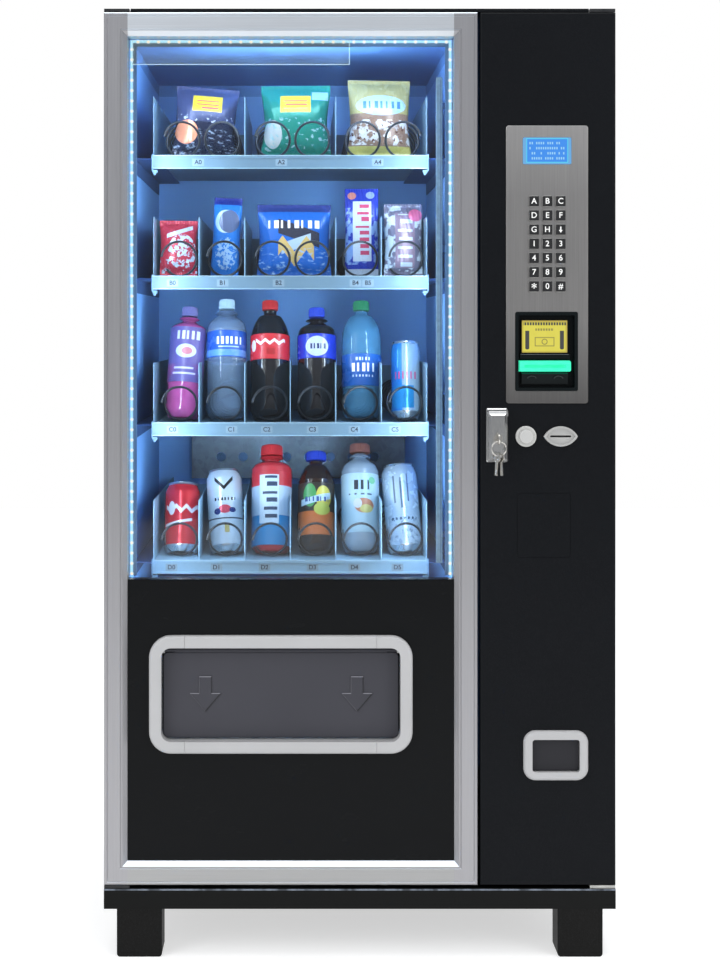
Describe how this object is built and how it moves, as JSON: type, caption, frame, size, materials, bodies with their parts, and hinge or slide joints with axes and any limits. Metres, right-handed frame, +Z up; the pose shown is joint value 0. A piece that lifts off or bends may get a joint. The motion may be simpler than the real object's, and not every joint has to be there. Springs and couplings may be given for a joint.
{
  "type": "snack vending machine",
  "caption": "Floor-standing spiral vending machine: glazed cold compartment with pull-out trays and delivery flap, and a narrow control door with keypad, bill and coin parts and a key lock.",
  "frame": {"origin": "on the floor, at the middle of the whole machine's width and depth", "axes": "+Z up; +X to the right as a buyer sees the machine; the front faces -Y"},
  "size_m": [0.885, 0.79, 1.64],
  "materials": {
    "cabinet_black": "satin powder coat with a fine texture",
    "base_black": "matt powder coat",
    "liner_plastic": "white moulded cabinet liner on foam",
    "zinc_steel": "galvanised sheet",
    "galvanised_cover": "galvanised sheet, dull",
    "machinery": "black enamel",
    "electrics_plastic": "dark moulded housing",
    "frame_aluminium": "satin anodised extrusion",
    "window_glass": "clear double glazing",
    "lower_panel_black": "gloss black",
    "bezel_grey": "light grey satin moulding",
    "bin_black": "black painted sheet",
    "flap_grey": "dark grey moulding",
    "seal_rubber": "black magnetic seal",
    "led_lens": "frosted lamp lens",
    "fascia_steel": "fine horizontal brushing",
    "display_blue": "lit liquid crystal display behind a clear lens",
    "validator_black": "black moulding",
    "cast_grey": "satin die casting",
    "button_white": "white moulded push button",
    "changer_grey": "grey moulded housing",
    "lock_chrome": "bright chrome",
    "key_nickel": "nickel plated",
    "tray_paint": "pale painted sheet",
    "spiral_wire": "bright drawn wire",
    "keycap_black": "black key with a plated rim"
  },
  "bodies": {
    "cabinet": {"cabinet_shell": "cabinet_black", "insulated_liner": "liner_plastic", "base_frame": "base_black", "legs": "base_black", "hinge_brackets": "cabinet_black", "evaporator_cover": "galvanised_cover", "cooling_unit": "machinery", "tray_rails": "zinc_steel", "electrics": "electrics_plastic", "delivery_bin": "bin_black", "coin_mechanism": "changer_grey"},
    "glass_door": {"door_frame": "frame_aluminium", "window_glass": "window_glass", "door_lower_panel": "lower_panel_black", "delivery_bezel": "bezel_grey", "door_gasket": "seal_rubber", "led_strips": "led_lens"},
    "control_door": {"control_door": "cabinet_black", "control_fascia": "fascia_steel", "display_window": "display_blue", "bill_validator": "validator_black", "coin_slot_plate": "cast_grey", "return_button_bezel": "cast_grey", "coin_cup": "bezel_grey", "lock_base": "lock_chrome"},
    "delivery_flap": {"delivery_flap": "flap_grey"},
    "coin_flap": {"coin_flap": "flap_grey"},
    "lock_handle": {"lock_handle": "lock_chrome"},
    "lock_key": {"lock_key": "key_nickel"},
    "key_ring": {"spare_keys": "key_nickel"},
    "return_button": {"return_button": "button_white"},
    "tray_a": {"tray_a": "tray_paint"},
    "spiral_a": {"spiral_a": "spiral_wire"},
    "tray_b": {"tray_b": "tray_paint"},
    "spiral_b": {"spiral_b": "spiral_wire"},
    "tray_c": {"tray_c": "tray_paint"},
    "spiral_c": {"spiral_c": "spiral_wire"},
    "tray_d": {"tray_d": "tray_paint"},
    "spiral_d": {"spiral_d": "spiral_wire"},
    "key_a": {"key_a": "keycap_black"},
    "key_b": {"key_b": "keycap_black"},
    "key_c": {"key_c": "keycap_black"},
    "key_d": {"key_d": "keycap_black"},
    "key_e": {"key_e": "keycap_black"},
    "key_f": {"key_f": "keycap_black"},
    "key_g": {"key_g": "keycap_black"},
    "key_h": {"key_h": "keycap_black"},
    "key_down": {"key_down": "keycap_black"},
    "key_1": {"key_1": "keycap_black"},
    "key_2": {"key_2": "keycap_black"},
    "key_3": {"key_3": "keycap_black"},
    "key_4": {"key_4": "keycap_black"},
    "key_5": {"key_5": "keycap_black"},
    "key_6": {"key_6": "keycap_black"},
    "key_7": {"key_7": "keycap_black"},
    "key_8": {"key_8": "keycap_black"},
    "key_9": {"key_9": "keycap_black"},
    "key_star": {"key_star": "keycap_black"},
    "key_0": {"key_0": "keycap_black"},
    "key_hash": {"key_hash": "keycap_black"}
  },
  "joints": [
    {"name": "glass_door", "type": "hinge", "parent": "cabinet", "child": "glass_door", "pos_m": [-0.4305, -0.335, 0.88], "axis": [0, 0, -1], "range_deg": [0, 110]},
    {"name": "control_door", "type": "hinge", "parent": "cabinet", "child": "control_door", "pos_m": [0.4305, -0.335, 0.88], "axis": [0, 0, 1], "range_deg": [0, 110]},
    {"name": "delivery_flap", "type": "hinge", "parent": "glass_door", "child": "delivery_flap", "pos_m": [-0.1365, -0.335, 0.526], "axis": [1, 0, 0], "range_deg": [0, 70]},
    {"name": "coin_flap", "type": "hinge", "parent": "control_door", "child": "coin_flap", "pos_m": [0.3385, -0.3547, 0.3737], "axis": [1, 0, 0], "range_deg": [0, 60]},
    {"name": "lock_handle", "type": "hinge", "parent": "control_door", "child": "lock_handle", "pos_m": [0.237, -0.366, 0.94], "axis": [-1, 0, 0], "range_deg": [0, 85]},
    {"name": "lock_key", "type": "hinge", "parent": "lock_handle", "child": "lock_key", "pos_m": [0.237, -0.374, 0.897], "axis": [0, 1, 0], "range_deg": [0, 90]},
    {"name": "key_ring_swing", "type": "hinge", "parent": "lock_key", "child": "key_ring", "pos_m": [0.237, -0.388, 0.893], "axis": [-1, 0, 0], "range_deg": [-10, 60]},
    {"name": "return_button", "type": "slide", "parent": "control_door", "child": "return_button", "axis": [0, 1, 0], "range_m": [0, 0.004], "stiffness_N_per_m": 400},
    {"name": "slide_tray_a", "type": "slide", "parent": "cabinet", "child": "tray_a", "axis": [0, -1, 0], "range_m": [0, 0.085]},
    {"name": "slide_tray_b", "type": "slide", "parent": "cabinet", "child": "tray_b", "axis": [0, -1, 0], "range_m": [0, 0.085]},
    {"name": "slide_tray_c", "type": "slide", "parent": "cabinet", "child": "tray_c", "axis": [0, -1, 0], "range_m": [0, 0.085]},
    {"name": "slide_tray_d", "type": "slide", "parent": "cabinet", "child": "tray_d", "axis": [0, -1, 0], "range_m": [0, 0.085]},
    {"name": "turn_spiral_a", "type": "hinge", "parent": "tray_a", "child": "spiral_a", "pos_m": [-0.153, 0.283, 1.4317], "axis": [0, 1, 0], "continuous": true},
    {"name": "turn_spiral_b", "type": "hinge", "parent": "tray_b", "child": "spiral_b", "pos_m": [-0.241, 0.283, 1.2137], "axis": [0, 1, 0], "continuous": true},
    {"name": "turn_spiral_c", "type": "hinge", "parent": "tray_c", "child": "spiral_c", "pos_m": [-0.15833, 0.283, 0.9487], "axis": [0, 1, 0], "continuous": true},
    {"name": "turn_spiral_d", "type": "hinge", "parent": "tray_d", "child": "spiral_d", "pos_m": [-0.07567, 0.283, 0.6997], "axis": [0, 1, 0], "continuous": true},
    {"name": "press_key_a", "type": "slide", "parent": "control_door", "child": "key_a", "axis": [0, 1, 0], "range_m": [0, 0.0015], "stiffness_N_per_m": 600},
    {"name": "press_key_b", "type": "slide", "parent": "control_door", "child": "key_b", "axis": [0, 1, 0], "range_m": [0, 0.0015], "stiffness_N_per_m": 600},
    {"name": "press_key_c", "type": "slide", "parent": "control_door", "child": "key_c", "axis": [0, 1, 0], "range_m": [0, 0.0015], "stiffness_N_per_m": 600},
    {"name": "press_key_d", "type": "slide", "parent": "control_door", "child": "key_d", "axis": [0, 1, 0], "range_m": [0, 0.0015], "stiffness_N_per_m": 600},
    {"name": "press_key_e", "type": "slide", "parent": "control_door", "child": "key_e", "axis": [0, 1, 0], "range_m": [0, 0.0015], "stiffness_N_per_m": 600},
    {"name": "press_key_f", "type": "slide", "parent": "control_door", "child": "key_f", "axis": [0, 1, 0], "range_m": [0, 0.0015], "stiffness_N_per_m": 600},
    {"name": "press_key_g", "type": "slide", "parent": "control_door", "child": "key_g", "axis": [0, 1, 0], "range_m": [0, 0.0015], "stiffness_N_per_m": 600},
    {"name": "press_key_h", "type": "slide", "parent": "control_door", "child": "key_h", "axis": [0, 1, 0], "range_m": [0, 0.0015], "stiffness_N_per_m": 600},
    {"name": "press_key_down", "type": "slide", "parent": "control_door", "child": "key_down", "axis": [0, 1, 0], "range_m": [0, 0.0015], "stiffness_N_per_m": 600},
    {"name": "press_key_1", "type": "slide", "parent": "control_door", "child": "key_1", "axis": [0, 1, 0], "range_m": [0, 0.0015], "stiffness_N_per_m": 600},
    {"name": "press_key_2", "type": "slide", "parent": "control_door", "child": "key_2", "axis": [0, 1, 0], "range_m": [0, 0.0015], "stiffness_N_per_m": 600},
    {"name": "press_key_3", "type": "slide", "parent": "control_door", "child": "key_3", "axis": [0, 1, 0], "range_m": [0, 0.0015], "stiffness_N_per_m": 600},
    {"name": "press_key_4", "type": "slide", "parent": "control_door", "child": "key_4", "axis": [0, 1, 0], "range_m": [0, 0.0015], "stiffness_N_per_m": 600},
    {"name": "press_key_5", "type": "slide", "parent": "control_door", "child": "key_5", "axis": [0, 1, 0], "range_m": [0, 0.0015], "stiffness_N_per_m": 600},
    {"name": "press_key_6", "type": "slide", "parent": "control_door", "child": "key_6", "axis": [0, 1, 0], "range_m": [0, 0.0015], "stiffness_N_per_m": 600},
    {"name": "press_key_7", "type": "slide", "parent": "control_door", "child": "key_7", "axis": [0, 1, 0], "range_m": [0, 0.0015], "stiffness_N_per_m": 600},
    {"name": "press_key_8", "type": "slide", "parent": "control_door", "child": "key_8", "axis": [0, 1, 0], "range_m": [0, 0.0015], "stiffness_N_per_m": 600},
    {"name": "press_key_9", "type": "slide", "parent": "control_door", "child": "key_9", "axis": [0, 1, 0], "range_m": [0, 0.0015], "stiffness_N_per_m": 600},
    {"name": "press_key_star", "type": "slide", "parent": "control_door", "child": "key_star", "axis": [0, 1, 0], "range_m": [0, 0.0015], "stiffness_N_per_m": 600},
    {"name": "press_key_0", "type": "slide", "parent": "control_door", "child": "key_0", "axis": [0, 1, 0], "range_m": [0, 0.0015], "stiffness_N_per_m": 600},
    {"name": "press_key_hash", "type": "slide", "parent": "control_door", "child": "key_hash", "axis": [0, 1, 0], "range_m": [0, 0.0015], "stiffness_N_per_m": 600}
  ]
}
